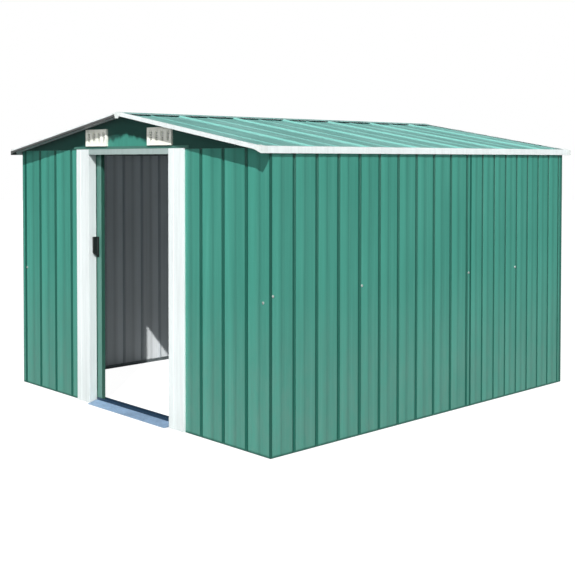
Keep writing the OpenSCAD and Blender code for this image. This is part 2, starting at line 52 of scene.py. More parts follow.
wall_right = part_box("right_wall_front")[1].x
wall_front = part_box("front_wall_left")[0].y
wall_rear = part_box("rear_wall_middle")[1].y
seam_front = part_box("right_wall_middle")[0].y
seam_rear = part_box("right_wall_rear")[0].y
rear_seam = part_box("rear_wall_right")[0].x
ramp_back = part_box("door_jamb_right")[1].y
ridge_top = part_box("ridge_cap")[1].z
vent_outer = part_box("vents_front")[1].x
front_reach = wall_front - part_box("rake_trims_front")[0].y
roof_slope_face = max(nodes["roof_right_front"].data.polygons, key=lambda face: face.area)
roof_tilt = math.atan2(abs(roof_slope_face.normal.x), abs(roof_slope_face.normal.z))


# ---- working on one piece at a time ----

MERGE = 0.02 * MM
COPLANAR = math.radians(0.3)
FOLD_ANGLE = math.radians(25)
CORNER_ANGLE = math.radians(40)
SHEET_SMOOTH = math.radians(32)
FITTING_SMOOTH = math.radians(35)


def work_on(piece):
    bpy.ops.object.select_all(action="DESELECT")
    bpy.context.view_layer.objects.active = piece
    piece.select_set(True)


def edit(piece, kind="EDGE"):
    work_on(piece)
    bpy.ops.object.mode_set(mode="EDIT")
    bpy.ops.mesh.select_mode(type=kind)


def leave():
    bpy.ops.object.mode_set(mode="OBJECT")


def select_where(piece, kind, test):
    """Selects the faces, edges or vertices of a piece in edit mode for which test is true."""
    shape = bmesh.from_edit_mesh(piece.data)
    bpy.ops.mesh.select_all(action="DESELECT")
    for item in getattr(shape, kind):
        if test(item):
            item.select_set(True)
    shape.select_flush_mode()
    bmesh.update_edit_mesh(piece.data)


def own_copy(piece):
    """A copy of a piece with a mesh of its own."""
    made = piece.copy()
    made.data = piece.data.copy()
    bpy.context.scene.collection.objects.link(made)
    return made


def copy_of(node, name=None):
    """A new piece with its own merged copy of a CAD node's mesh, standing for that node."""
    source = nodes[node]
    piece = bpy.data.objects.new(name or node + "_formed", source.data.copy())
    bpy.context.scene.collection.objects.link(piece)
    piece.data.materials.clear()
    edit(piece)
    bpy.ops.mesh.select_all(action="SELECT")
    bpy.ops.mesh.customdata_custom_splitnormals_clear()
    bpy.ops.mesh.remove_doubles(threshold=MERGE)
    bpy.ops.mesh.dissolve_limited(angle_limit=COPLANAR)
    leave()
    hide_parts(node)
    return piece


def run_along_x(edge):
    return abs(edge.verts[0].co.x - edge.verts[1].co.x)


def face_width(face):
    return face.calc_area() / max(edge.calc_length() for edge in face.edges)


def is_fold(edge, along, sheet):
    """True for a bend that runs along the given direction, not for the sheet's cut edge."""
    if len(edge.link_faces) != 2 or edge.calc_face_angle(0) < FOLD_ANGLE:
        return False
    run = (edge.verts[1].co - edge.verts[0].co).normalized()
    if abs(run.dot(along)) < 0.999:
        return False
    return all(face_width(face) > 1.6 * sheet for face in edge.link_faces)


def round_folds(piece, along, radius, sheet):
    edit(piece)
    select_where(piece, "edges", lambda edge: is_fold(edge, along, sheet))
    bpy.ops.mesh.bevel(offset=radius, offset_type="OFFSET", segments=3, affect="EDGES")
    leave()


def round_corners(piece, radius):
    edit(piece)
    select_where(
        piece, "edges", lambda edge: len(edge.link_faces) == 2 and edge.calc_face_angle(0) > CORNER_ANGLE
    )
    bpy.ops.mesh.bevel(offset=radius, offset_type="OFFSET", segments=2, affect="EDGES")
    bpy.ops.mesh.select_all(action="SELECT")
    bpy.ops.mesh.dissolve_degenerate(threshold=MERGE)
    leave()


def smooth(piece):
    """Smooth shading over the bends, with the flat faces kept flat."""
    work_on(piece)
    bpy.ops.object.shade_smooth_by_angle(angle=SHEET_SMOOTH)
    weights = piece.modifiers.new("flat_faces", "WEIGHTED_NORMAL")
    weights.keep_sharp = True
    bpy.ops.object.modifier_apply(modifier=weights.name)


def finish_piece(piece, body, material):
    piece.data.materials.clear()
    piece.data.materials.append(material)
    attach(piece, body)
    return piece


def joined(pieces, name):
    work_on(pieces[0])
    for piece in pieces[1:]:
        piece.select_set(True)
    if len(pieces) > 1:
        bpy.ops.object.join()
    pieces[0].name = name
    pieces[0].data.name = name
    return pieces[0]


def settle(piece):
    """Puts the place, turn and size of a piece into its mesh."""
    work_on(piece)
    bpy.ops.object.transform_apply(location=True, rotation=True, scale=True)


def twin(piece, name, mirror_x=False, mirror_y=False):
    """A copy with its own mesh, mirrored across the middle of the shed."""
    made = own_copy(piece)
    made.name = name
    made.scale = (-1 if mirror_x else 1, -1 if mirror_y else 1, 1)
    settle(made)
    edit(made)
    bpy.ops.mesh.select_all(action="SELECT")
    bpy.ops.mesh.normals_make_consistent(inside=False)
    leave()
    return made


# ---- rib map of a ribbed sheet ----

RIB_CLUSTER = 60 * MM
LONE_RIB_SPACING = 200 * MM


def rib_middles(piece, across, height_of, least):
    """Where the main ribs lie across a sheet, from the vertices far enough off its face."""
    places = sorted(
        {round(vert.co.dot(across), 5) for vert in piece.data.vertices if height_of(vert.co) > least}
    )
    groups = []
    for place in places:
        if groups and place - groups[-1][-1] < RIB_CLUSTER:
            groups[-1].append(place)
        else:
            groups.append([place])
    return [(group[0] + group[-1]) / 2 for group in groups]


def pan_of(place, middles, half_rib):
    """The rib that a place on the sheet follows, and the distance from that rib to the next."""
    spacing = [b - a for a, b in zip(middles, middles[1:])] or [LONE_RIB_SPACING]
    if place < middles[0] - half_rib:
        return middles[0] - spacing[0], spacing[0]
    last = max(i for i, middle in enumerate(middles) if middle - half_rib <= place)
    return middles[last], spacing[min(last, len(spacing) - 1)]


def write_rib_map(piece, across, height_of, full, half_rib):
    """UV map: U runs from 1 at each main rib to 2 at the next, V is the rib's depth or height over full."""
    middles = rib_middles(piece, across, height_of, 0.6 * full)
    if not middles:
        middles = [min(vert.co.dot(across) for vert in piece.data.vertices) - half_rib]
    layer = piece.data.uv_layers.new(name="ribs")
    for face in piece.data.polygons:
        start, spacing = pan_of(face.center.dot(across), middles, half_rib)
        for loop in face.loop_indices:
            place = piece.data.vertices[piece.data.loops[loop].vertex_index].co
            layer.data[loop].uv = (1 + (place.dot(across) - start) / spacing, height_of(place) / full)


# ---- shader building ----


def feed(tree, socket, value):
    """Gives an input its value, or links it to the socket that feeds it."""
    if isinstance(value, bpy.types.NodeSocket):
        tree.links.new(value, socket)
    else:
        socket.default_value = value


def add(tree, kind, inputs=None, **settings):
    """A shader node; an input is a value or the socket that feeds it."""
    made = tree.nodes.new("ShaderNode" + kind)
    for key, value in settings.items():
        setattr(made, key, value)
    for key, value in (inputs or {}).items():
        feed(tree, made.inputs[key], value)
    return made


def maths(tree, operation, a, b=0.0, c=0.0, clamp=False):
    return add(tree, "Math", {0: a, 1: b, 2: c}, operation=operation, use_clamp=clamp).outputs[0]


def grey_of(tree, value):
    return add(tree, "CombineColor", {0: value, 1: value, 2: value}).outputs[0]


def blend_colour(tree, amount, a, b, mode="MIX"):
    made = add(tree, "Mix", data_type="RGBA", blend_type=mode)
    for socket, value in ((made.inputs[0], amount), (made.inputs[6], a), (made.inputs[7], b)):
        feed(tree, socket, value)
    return made.outputs[2]


def toned(tree, colour, tone):
    """The colour made lighter or darker by a grey factor."""
    return blend_colour(tree, 1.0, colour, grey_of(tree, tone), "MULTIPLY")


def object_place(tree):
    return add(tree, "TexCoord").outputs["Object"]


def object_parts(tree):
    return add(tree, "SeparateXYZ", {0: object_place(tree)}).outputs


def spread(tree, value, low, high, out_low=0.0, out_high=1.0, smooth_ends=True):
    made = add(
        tree,
        "MapRange",
        {"Value": value, "From Min": low, "From Max": high, "To Min": out_low, "To Max": out_high},
        interpolation_type="SMOOTHSTEP" if smooth_ends else "LINEAR",
    )
    return made.outputs["Result"]


def stretched(tree, place, scale):
    return add(tree, "VectorMath", {0: place, 1: scale}, operation="MULTIPLY").outputs[0]


def noise(tree, place, scale, detail=2.0, rough=0.5):
    made = add(tree, "TexNoise", {"Vector": place, "Scale": scale, "Detail": detail, "Roughness": rough})
    return made.outputs["Fac"]


def new_group(name, inputs, outputs):
    """A shader node group; sockets are given as name: (type, default)."""
    tree = bpy.data.node_groups.new(name, "ShaderNodeTree")
    for key, (kind, value) in inputs.items():
        socket = tree.interface.new_socket(key, in_out="INPUT", socket_type="NodeSocket" + kind)
        socket.default_value = value
    for key, kind in outputs.items():
        tree.interface.new_socket(key, in_out="OUTPUT", socket_type="NodeSocket" + kind)
    source = tree.nodes.new("NodeGroupInput")
    sink = tree.nodes.new("NodeGroupOutput")
    return tree, source.outputs, sink.inputs


def use(tree, group, inputs=None):
    made = tree.nodes.new("ShaderNodeGroup")
    made.node_tree = group
    for key, value in (inputs or {}).items():
        feed(tree, made.inputs[key], value)
    return made.outputs


def rgb(r, g, b):
    """Linear colour from display values out of 255."""
    def linear(v):
        v = v / 255
        return v / 12.92 if v <= 0.04045 else ((v + 0.055) / 1.055) ** 2.4
    return (linear(r), linear(g), linear(b), 1.0)


# ---- effects that several finishes share ----


def make_outside_group():
    """1 on the faces that look away from the shed's middle along Axis, 0 on those that look inwards."""
    tree, given, out = new_group(
        "outside_face", {"Axis": ("Vector", (1, 0, 0))}, {"Mask": "Float"}
    )
    where = add(tree, "TexCoord").outputs
    side = add(tree, "VectorMath", {0: where["Object"]}, operation="SIGN").outputs[0]
    outward = add(tree, "VectorMath", {0: side, 1: given["Axis"]}, operation="MULTIPLY").outputs[0]
    facing = add(tree, "VectorMath", {0: where["Normal"], 1: outward}, operation="DOT_PRODUCT")
    tree.links.new(maths(tree, "GREATER_THAN", facing.outputs["Value"], -0.02), out["Mask"])
    return tree


def make_sheet_paint_group():
    """Colour, gloss and relief of coil-coated sheet: faint blotches, run marks and orange peel."""
    tree, given, out = new_group(
        "sheet_paint",
        {
            "Colour": ("Color", (0.1, 0.3, 0.2, 1)),
            "Chalk": ("Color", (0.3, 0.4, 0.4, 1)),
            "Along": ("Vector", (1, 1, 0.03)),
            "Gloss": ("Float", 0.35),
            "Wave": ("Float", 0.35),
        },
        {"Colour": "Color", "Roughness": "Float", "Height": "Float"},
    )
    place = object_place(tree)
    blotch = noise(tree, place, 1.7, 3.0)
    runs = noise(tree, stretched(tree, place, given["Along"]), 46.0, 3.0, 0.6)
    speck = noise(tree, place, 900.0, 1.0)
    tint = maths(tree, "MULTIPLY_ADD", blotch, 0.13, 0.935)
    tint = maths(tree, "ADD", tint, spread(tree, runs, 0.3, 0.7, -0.05, 0.05))
    tint = maths(tree, "ADD", tint, spread(tree, speck, 0.3, 0.7, -0.015, 0.015))
    colour = toned(tree, given["Colour"], tint)
    worn = spread(tree, runs, 0.52, 0.8, 0.0, 0.22)
    tree.links.new(blend_colour(tree, worn, colour, given["Chalk"]), out["Colour"])
    gloss = maths(tree, "ADD", given["Gloss"], spread(tree, blotch, 0.3, 0.7, -0.06, 0.08))
    tree.links.new(gloss, out["Roughness"])
    wave = noise(tree, stretched(tree, place, (1.0, 1.0, 0.35)), 5.5, 1.0)
    peel = noise(tree, place, 620.0, 1.0)
    waved = maths(tree, "MULTIPLY", wave, given["Wave"])
    height = maths(tree, "MULTIPLY_ADD", peel, 0.0012, waved)
    tree.links.new(height, out["Height"])
    return tree


GROOVE_REACH = 0.062
GROOVE_EDGE = 0.078


def make_rib_band_group():
    """Painted shade and highlight of a wall sheet from its rib map: the groove mask, for painted shade in
    and beside a groove; a tone with a painted highlight beside a rib and painted shade in the middle dip
    and just before the next rib; and the rib mask.
    """
    tree, given, out = new_group(
        "rib_bands",
        {"Depth": ("Float", 0.1)},
        {"Groove": "Float", "Tone": "Float", "Rib": "Float"},
    )
    rib_map = add(tree, "SeparateXYZ", {0: add(tree, "UVMap", uv_map="ribs").outputs["UV"]}).outputs
    pan, rise = maths(tree, "SUBTRACT", rib_map["X"], 1.0), rib_map["Y"]

    def band(start, full, fade, end):
        rising, falling = spread(tree, pan, start, full), spread(tree, pan, fade, end, 1.0, 0.0)
        return maths(tree, "MULTIPLY", rising, falling)

    # painted highlight beside each rib, painted shade in the middle dip and just before the next rib
    pale = band(0.05, 0.10, 0.30, 0.44)
    dip = band(0.40, 0.50, 0.53, 0.64)
    edge = band(0.88, 0.96, 1.0, 1.1)
    tone = maths(tree, "SUBTRACT", pale, maths(tree, "ADD", dip, edge))
    tree.links.new(maths(tree, "MULTIPLY_ADD", tone, given["Depth"], 1.0), out["Tone"])
    # groove mask: where painted shade goes in and beside each groove
    before = spread(tree, pan, 1.0 - GROOVE_EDGE, 1.0 - GROOVE_REACH)
    after = spread(tree, maths(tree, "ABSOLUTE", pan), GROOVE_REACH, GROOVE_EDGE, 1.0, 0.0)
    tree.links.new(maths(tree, "MAXIMUM", before, after), out["Groove"])
    # mask of where the ribs rise, used for the roof's painted highlight
    tree.links.new(spread(tree, rise, 0.06, 0.5), out["Rib"])
    return tree


def make_wall_edge_group():
    """Mask of the dark line down the shed's corners, which is painted shade, and of the dark line along the
    walls' foot.
    """
    tree, given, out = new_group(
        "wall_edges",
        {"Corner": ("Float", 0.007), "Rear": ("Float", 0.026), "Foot": ("Float", 0.014)},
        {"Mask": "Float"},
    )
    part = object_parts(tree)
    near_side = maths(tree, "SUBTRACT", wall_right, maths(tree, "ABSOLUTE", part["X"]))
    near_end = maths(tree, "SUBTRACT", wall_rear, maths(tree, "ABSOLUTE", part["Y"]))
    at_rear = maths(tree, "GREATER_THAN", part["Y"], 0.0)
    reach = maths(tree, "MULTIPLY_ADD", at_rear, given["Rear"], given["Corner"])
    far = maths(tree, "DIVIDE", maths(tree, "MAXIMUM", near_side, near_end), reach)
    low = maths(tree, "DIVIDE", part["Z"], given["Foot"])
    corner = spread(tree, far, 0.5, 1.2, 1.0, 0.0)
    foot = spread(tree, low, 0.4, 1.2, 1.0, 0.0)
    tree.links.new(maths(tree, "MAXIMUM", corner, foot), out["Mask"])
    return tree


def make_ground_dust_group():
    """Mask of the dust and splash that settles on the lowest part of a wall or post."""
    tree, given, out = new_group(
        "ground_dust", {"Reach": ("Float", 0.5), "Amount": ("Float", 0.4)}, {"Mask": "Float"}
    )
    place = object_place(tree)
    height = add(tree, "SeparateXYZ", {0: place}).outputs["Z"]
    fade = spread(tree, maths(tree, "DIVIDE", height, given["Reach"]), 0.0, 1.0, 1.0, 0.0)
    splash = noise(tree, stretched(tree, place, (1, 1, 0.4)), 22.0, 4.0, 0.65)
    patchy = spread(tree, splash, 0.3, 0.7, 0.45, 1.0)
    mask = maths(tree, "MULTIPLY", maths(tree, "MULTIPLY", fade, patchy), given["Amount"], clamp=True)
    tree.links.new(mask, out["Mask"])
    return tree


def make_zinc_group():
    """Colour, roughness and relief of galvanised sheet, with its crystal flowers."""
    tree, given, out = new_group(
        "zinc_flower",
        {
            "Colour": ("Color", (0.4, 0.42, 0.44, 1)),
            "Size": ("Float", 90.0),
            "Contrast": ("Float", 0.3),
        },
        {"Colour": "Color", "Roughness": "Float", "Height": "Float"},
    )
    place = object_place(tree)
    warp = add(tree, "TexNoise", {"Vector": place, "Scale": 60.0, "Detail": 2.0}).outputs["Color"]
    bent = add(tree, "VectorMath", {0: warp, 1: (0.012, 0.012, 0.012)}, operation="MULTIPLY").outputs[0]
    moved = add(tree, "VectorMath", {0: place, 1: bent}, operation="ADD").outputs[0]
    cells = add(tree, "TexVoronoi", {"Vector": moved, "Scale": given["Size"]}, feature="F1")
    shade = add(tree, "SeparateColor", {0: cells.outputs["Color"]}).outputs[0]
    cloud = noise(tree, place, 4.0, 4.0, 0.6)
    lift = maths(tree, "MULTIPLY", maths(tree, "SUBTRACT", shade, 0.5), given["Contrast"])
    lift = maths(tree, "ADD", lift, spread(tree, cloud, 0.3, 0.7, -0.1, 0.1))
    lift = maths(tree, "ADD", lift, 1.0)
    tree.links.new(toned(tree, given["Colour"], lift), out["Colour"])
    tree.links.new(spread(tree, shade, 0.0, 1.0, 0.34, 0.52, False), out["Roughness"])
    tree.links.new(maths(tree, "MULTIPLY", shade, 0.02), out["Height"])
    return tree


def make_moulded_group():
    """Colour, roughness and relief of moulded plastic: fine grain and a little yellowing."""
    tree, given, out = new_group(
        "moulded_plastic",
        {
            "Colour": ("Color", (0.8, 0.8, 0.75, 1)),
            "Aged": ("Color", (0.7, 0.6, 0.4, 1)),
            "Grain": ("Float", 0.03),
        },
        {"Colour": "Color", "Roughness": "Float", "Height": "Float"},
    )
    place = object_place(tree)
    cloud = noise(tree, place, 14.0, 3.0, 0.6)
    grain = noise(tree, place, 1400.0, 2.0)
    ageing = spread(tree, cloud, 0.4, 0.8, 0.0, 0.3)
    tree.links.new(blend_colour(tree, ageing, given["Colour"], given["Aged"]), out["Colour"])
    tree.links.new(spread(tree, grain, 0.3, 0.7, 0.36, 0.5), out["Roughness"])
    tree.links.new(maths(tree, "MULTIPLY", grain, given["Grain"]), out["Height"])
    return tree


outside_face = make_outside_group()
sheet_paint = make_sheet_paint_group()
rib_bands = make_rib_band_group()
wall_edges = make_wall_edge_group()
ground_dust = make_ground_dust_group()
zinc_flower = make_zinc_group()
moulded_plastic = make_moulded_group()


# ---- finishes ----

WALL_GREEN = rgb(64, 141, 126)
WALL_CHALK = rgb(95, 153, 141)
# painted shade in the wall grooves; then the dark green of the painted shade down the corners, also used
# along the walls' foot
GROOVE_SHADE_GREEN = rgb(14, 86, 73)
EDGE_SHADE_GREEN = rgb(32, 86, 74)
DOOR_GREEN = rgb(79, 126, 115)
# painted shade on the doors' upright edges
DOOR_EDGE_SHADE = rgb(37, 86, 72)
RAIL_GREEN = rgb(73, 121, 110)
ROOF_GREEN = rgb(107, 160, 154)
ROOF_CHALK = rgb(143, 189, 185)
# painted highlight on the roof's rib tops
ROOF_RIB_HIGHLIGHT = rgb(123, 184, 176)
# painted shade in the back coat's grooves
INNER_GROOVE_SHADE = rgb(196, 202, 207)
# painted shadow of the roof's overhang on the gable, and how far under the roof it reaches
OVERHANG_SHADOW_GREEN = rgb(22, 63, 57)
OVERHANG_SHADOW_DEPTH = 120 * MM
# painted shade on the left front rake trim and cap
RAKE_SHADE_GREY = rgb(59, 59, 59)
BACK_COAT = rgb(228, 233, 236)
BACK_CHALK = rgb(180, 186, 192)
DUST = rgb(117, 137, 130)
SILL_BLUE = rgb(139, 167, 197)
# painted shade inside the door track
TRACK_SHADE_BLUE = rgb(39, 63, 86)
WHITE = rgb(229, 237, 238)
WHITE_CHALK = rgb(211, 219, 220)
HEADER_WHITE = rgb(161, 179, 177)
HEADER_CHALK = rgb(148, 166, 165)
ZINC_GREY = rgb(150, 156, 160)

TRACK_LIP = 10 * MM
TRACK_FADE = 1.5 * MM
# how much the edge of the gable's painted shadow wanders, and how far past the vents it fades in
SHADOW_EDGE_WANDER = 12 * MM
OVERHANG_SHADOW_SIDE = 20 * MM
# depths under the roof's top where the rake trim's painted shade starts and is full
RAKE_SHADE_FROM, RAKE_SHADE_FULL = 6 * MM, 11 * MM
PEAK_CAP_HALF = 22 * MM
UPRIGHT = (1, 1, 0.03)
DOWN_SLOPE = (0.05, 1, 0.05)
LENGTHWISE = (0.05, 1, 1)
ALONG_TRIM = (1, 1, 0.05)
PAINT_RELIEF = 0.01
FINE_RELIEF = 0.002


def new_material(name):
    made = bpy.data.materials.new(name)
    made.use_nodes = True
    made.node_tree.nodes.clear()
    tree = made.node_tree
    shader = add(tree, "BsdfPrincipled")
    sink = add(tree, "OutputMaterial")
    tree.links.new(shader.outputs[0], sink.inputs["Surface"])
    return made, tree, shader


def dress(tree, shader, colour, rough, height, relief):
    """Feeds a finish's colour, roughness and relief to its shader."""
    tree.links.new(colour, shader.inputs["Base Color"])
    tree.links.new(rough, shader.inputs["Roughness"])
    bump = add(tree, "Bump", {"Height": height, "Distance": relief, "Strength": 1.0})
    tree.links.new(bump.outputs[0], shader.inputs["Normal"])


def paint_of(tree, colour, chalk, along, gloss=0.42, wave=0.35):
    values = {"Colour": colour, "Chalk": chalk, "Along": along, "Gloss": gloss, "Wave": wave}
    return use(tree, sheet_paint, values)


def dust_of(tree, reach, amount):
    return use(tree, ground_dust, {"Reach": reach, "Amount": amount})["Mask"]


def below_roof(tree, part, aside):
    """How far a place lies under the roof's top plane, aside being its distance from the ridge."""
    raised = maths(tree, "MULTIPLY_ADD", aside, math.tan(roof_tilt), part["Z"])
    return maths(tree, "SUBTRACT", ridge_top, raised)


def painted_sheet(name, axis):
    """Green coil-coated sheet with painted shade in and beside its grooves, painted highlight and shade
    across its pans and a dark line down its corners and foot; a pale grey back coat inside with painted
    shade at its grooves.
    """
    made, tree, shader = new_material(name)
    outer = paint_of(tree, WALL_GREEN, WALL_CHALK, UPRIGHT, 0.4)
    inner = paint_of(tree, BACK_COAT, BACK_CHALK, UPRIGHT, 0.5)
    bands = use(tree, rib_bands, {"Depth": 0.14})
    dust = dust_of(tree, 1.0, 0.32)
    # painted highlight and shade across each pan from the rib tone
    dusted = blend_colour(tree, dust, toned(tree, outer["Colour"], bands["Tone"]), DUST)
    # painted shade in and beside each groove
    groove_shaded = blend_colour(tree, bands["Groove"], dusted, GROOVE_SHADE_GREEN)
    # painted shade down the corners, and the dark line along the foot
    edge = maths(tree, "MULTIPLY", use(tree, wall_edges)["Mask"], 0.8)
    edge_shaded = blend_colour(tree, edge, groove_shaded, EDGE_SHADE_GREEN)
    # back coat with the rib tone's painted highlight and shade, and painted shade at its grooves
    lining = blend_colour(tree, bands["Groove"], toned(tree, inner["Colour"], bands["Tone"]), INNER_GROOVE_SHADE)
    mask = use(tree, outside_face, {"Axis": axis})["Mask"]
    colour = blend_colour(tree, mask, lining, edge_shaded)
    rough = maths(tree, "MULTIPLY_ADD", dust, 0.4, outer["Roughness"])
    dress(tree, shader, colour, rough, outer["Height"], PAINT_RELIEF)
    return made


def painted_gable():
    """The gable sheet's green, with a painted shadow of the roof's overhang under the roof and out to its
    low corners.
    """
    made, tree, shader = new_material("gable_paint")
    outer = paint_of(tree, WALL_GREEN, WALL_CHALK, UPRIGHT)
    part = object_parts(tree)
    aside = maths(tree, "ABSOLUTE", part["X"])
    wander = spread(tree, noise(tree, part["X"], 9.0), 0.3, 0.7, -SHADOW_EDGE_WANDER, SHADOW_EDGE_WANDER)
    depth = maths(tree, "ADD", below_roof(tree, part, aside), wander)
    high = spread(tree, depth, OVERHANG_SHADOW_DEPTH, 1.25 * OVERHANG_SHADOW_DEPTH, 1.0, 0.0)
    wide = spread(tree, aside, vent_outer, vent_outer + OVERHANG_SHADOW_SIDE)
    # painted shadow of the overhang
    overhang_shadow = maths(tree, "MULTIPLY", maths(tree, "MAXIMUM", high, wide), 0.9)
    overhang_shadowed = blend_colour(tree, overhang_shadow, outer["Colour"], OVERHANG_SHADOW_GREEN)
    mask = use(tree, outside_face, {"Axis": (0, 1, 0)})["Mask"]
    colour = blend_colour(tree, mask, BACK_COAT, overhang_shadowed)
    dress(tree, shader, colour, outer["Roughness"], outer["Height"], PAINT_RELIEF)
    return made


def painted_door():
    """The doors' greyer green, with painted shade on their narrow upright edges and at their grooves."""
    made, tree, shader = new_material("door_paint")
    paint = paint_of(tree, DOOR_GREEN, WALL_CHALK, UPRIGHT)
    bands = use(tree, rib_bands, {"Depth": 0.08})
    # painted shade at the grooves
    groove_shaded = blend_colour(tree, bands["Groove"], paint["Colour"], GROOVE_SHADE_GREEN)
    # painted shade on the faces that look sideways: the narrow upright edges
    sideways = add(tree, "SeparateXYZ", {0: add(tree, "TexCoord").outputs["Normal"]}).outputs["X"]
    edge = spread(tree, maths(tree, "ABSOLUTE", sideways), 0.5, 0.9, 0.0, 0.92)
    edge_shaded = blend_colour(tree, edge, groove_shaded, DOOR_EDGE_SHADE)
    dusted = blend_colour(tree, dust_of(tree, 0.4, 0.2), edge_shaded, DUST)
    dress(tree, shader, dusted, paint["Roughness"], paint["Height"], PAINT_RELIEF)
    return made


def painted_roof():
    """Roof sheet: a painted highlight on the rib tops, broad pale streaks down the slope, back coat below.
    """
    made, tree, shader = new_material("roof_paint")
    outer = paint_of(tree, ROOF_GREEN, ROOF_CHALK, DOWN_SLOPE, 0.48, 0.5)
    inner = paint_of(tree, BACK_COAT, BACK_CHALK, DOWN_SLOPE, 0.5)
    place = object_place(tree)
    clouds = noise(tree, stretched(tree, place, (0.5, 1, 0.5)), 5.0, 3.0, 0.6)
    streaks = noise(tree, stretched(tree, place, DOWN_SLOPE), 28.0, 3.0, 0.6)
    broad = spread(tree, clouds, 0.42, 0.72, 0.0, 0.5)
    fine = spread(tree, streaks, 0.45, 0.75, 0.0, 0.35)
    streaked = blend_colour(tree, maths(tree, "MAXIMUM", broad, fine), outer["Colour"], ROOF_CHALK)
    # painted highlight on the rib tops
    ribbed = blend_colour(tree, use(tree, rib_bands)["Rib"], streaked, ROOF_RIB_HIGHLIGHT)
    mask = use(tree, outside_face, {"Axis": (0, 0, 1)})["Mask"]
    colour = blend_colour(tree, mask, inner["Colour"], ribbed)
    dress(tree, shader, colour, outer["Roughness"], outer["Height"], PAINT_RELIEF)
    shader.inputs["Specular IOR Level"].default_value = 0.2
    return made


def trim_paint(name, colour, chalk):
    made, tree, shader = new_material(name)
    paint = paint_of(tree, colour, chalk, ALONG_TRIM, 0.35, 0.1)
    dusted = blend_colour(tree, dust_of(tree, 0.25, 0.12), paint["Colour"], DUST)
    dress(tree, shader, dusted, paint["Roughness"], paint["Height"], PAINT_RELIEF)
    return made


def shaded_front_trim(name, colour, chalk):
    """White trim with painted shade: its left half at the front is painted dark grey below the top edge."""
    made, tree, shader = new_material(name)
    paint = paint_of(tree, colour, chalk, ALONG_TRIM, 0.35, 0.1)
    part = object_parts(tree)
    leftwards = maths(tree, "MULTIPLY", part["X"], -1.0)
    low = spread(tree, below_roof(tree, part, leftwards), RAKE_SHADE_FROM, RAKE_SHADE_FULL)
    left = maths(tree, "GREATER_THAN", leftwards, PEAK_CAP_HALF)
    front = maths(tree, "LESS_THAN", part["Y"], wall_front - 0.5 * front_reach)
    # painted shade on the left half at the front, below the top edge
    rake_shade = maths(tree, "MULTIPLY", maths(tree, "MULTIPLY", left, front), maths(tree, "MULTIPLY", low, 0.93))
    colour = blend_colour(tree, rake_shade, paint["Colour"], RAKE_SHADE_GREY)
    dress(tree, shader, colour, paint["Roughness"], paint["Height"], PAINT_RELIEF)
    return made


def rail_finish():
    """Galvanised top rails; the strip outside over the doorway is painted with the walls."""
    made, tree, shader = new_material("rail_painted_outside")
    flower = use(tree, zinc_flower, {"Colour": ZINC_GREY, "Size": 85.0, "Contrast": 0.3})
    paint = paint_of(tree, RAIL_GREEN, WALL_CHALK, LENGTHWISE)
    painted = maths(tree, "LESS_THAN", object_parts(tree)["Y"], wall_front)
    colour = blend_colour(tree, painted, flower["Colour"], paint["Colour"])
    dress(tree, shader, colour, flower["Roughness"], flower["Height"], FINE_RELIEF)
    tree.links.new(maths(tree, "MULTIPLY_ADD", painted, -0.7, 0.7), shader.inputs["Metallic"])
    return made


def zinc(name, colour, size, contrast, metal):
    made, tree, shader = new_material(name)
    flower = use(tree, zinc_flower, {"Colour": colour, "Size": size, "Contrast": contrast})
    dusted = blend_colour(tree, dust_of(tree, 0.2, 0.25), flower["Colour"], DUST)
    dress(tree, shader, dusted, flower["Roughness"], flower["Height"], FINE_RELIEF)
    shader.inputs["Metallic"].default_value = metal
    return made


def sill_finish():
    """Blue-grey zinc on the ramp, with painted shade inside the track behind it."""
    made, tree, shader = new_material("sill_blue_zinc")
    flower = use(tree, zinc_flower, {"Colour": SILL_BLUE, "Size": 60.0, "Contrast": 0.2})
    start = ramp_back - TRACK_LIP
    # painted shade inside the track
    track = spread(tree, object_parts(tree)["Y"], start, start + TRACK_FADE)
    colour = blend_colour(tree, track, flower["Colour"], TRACK_SHADE_BLUE)
    dress(tree, shader, colour, flower["Roughness"], flower["Height"], FINE_RELIEF)
    shader.inputs["Metallic"].default_value = 0.2
    return made


def plastic(name, colour, aged, grain):
    made, tree, shader = new_material(name)
    body = use(tree, moulded_plastic, {"Colour": colour, "Aged": aged, "Grain": grain})
    dress(tree, shader, body["Colour"], body["Roughness"], body["Height"], FINE_RELIEF)
    return made


side_paint = painted_sheet("side_wall_paint", (1, 0, 0))
end_paint = painted_sheet("end_wall_paint", (0, 1, 0))
gable_paint = painted_gable()
door_paint = painted_door()
roof_paint = painted_roof()
trim_white = trim_paint("white_trim_paint", WHITE, WHITE_CHALK)
rake_white = shaded_front_trim("rake_trim_paint", WHITE, WHITE_CHALK)
header_white = trim_paint("header_paint", HEADER_WHITE, HEADER_CHALK)
rail_paint = rail_finish()
cap_white = shaded_front_trim("cap_white_plastic", rgb(224, 231, 230), rgb(208, 214, 212))
vent_ivory = plastic("vent_ivory_plastic", rgb(247, 249, 240), rgb(238, 236, 216), 0.03)
handle_black = plastic("handle_black_plastic", rgb(26, 32, 32), rgb(44, 50, 48), 0.08)
glide_nylon = plastic("glide_nylon", rgb(70, 72, 74), rgb(90, 90, 88), 0.05)
frame_zinc = zinc("frame_galvanised", ZINC_GREY, 85.0, 0.35, 0.75)
sill_zinc = sill_finish()
screw_zinc = zinc("screw_zinc", rgb(196, 206, 202), 240.0, 0.2, 0.6)


# ---- formed sheets ----

